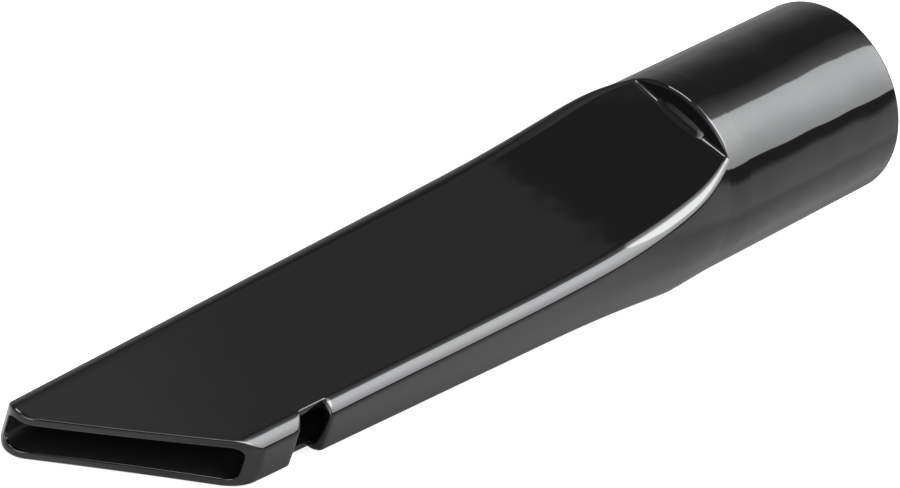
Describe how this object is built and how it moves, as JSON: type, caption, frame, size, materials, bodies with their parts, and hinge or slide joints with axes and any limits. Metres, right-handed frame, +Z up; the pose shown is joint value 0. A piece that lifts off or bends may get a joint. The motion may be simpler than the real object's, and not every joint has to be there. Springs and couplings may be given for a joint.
{
  "type": "vacuum crevice tool",
  "caption": "Vacuum crevice tool in gloss black plastic: a round push-on socket that flattens into a tapering hollow blade with a slanting mouth.",
  "frame": {"origin": "centre of the socket's open end", "axes": "+X from the socket towards the tip as the tool lies, +Y towards the notched side, +Z up from the surface it lies on"},
  "size_m": [0.2074, 0.04, 0.0447],
  "materials": {
    "black_plastic": "gloss"
  },
  "bodies": {
    "root": {"crevice_tool": "black_plastic"}
  },
  "joints": []
}
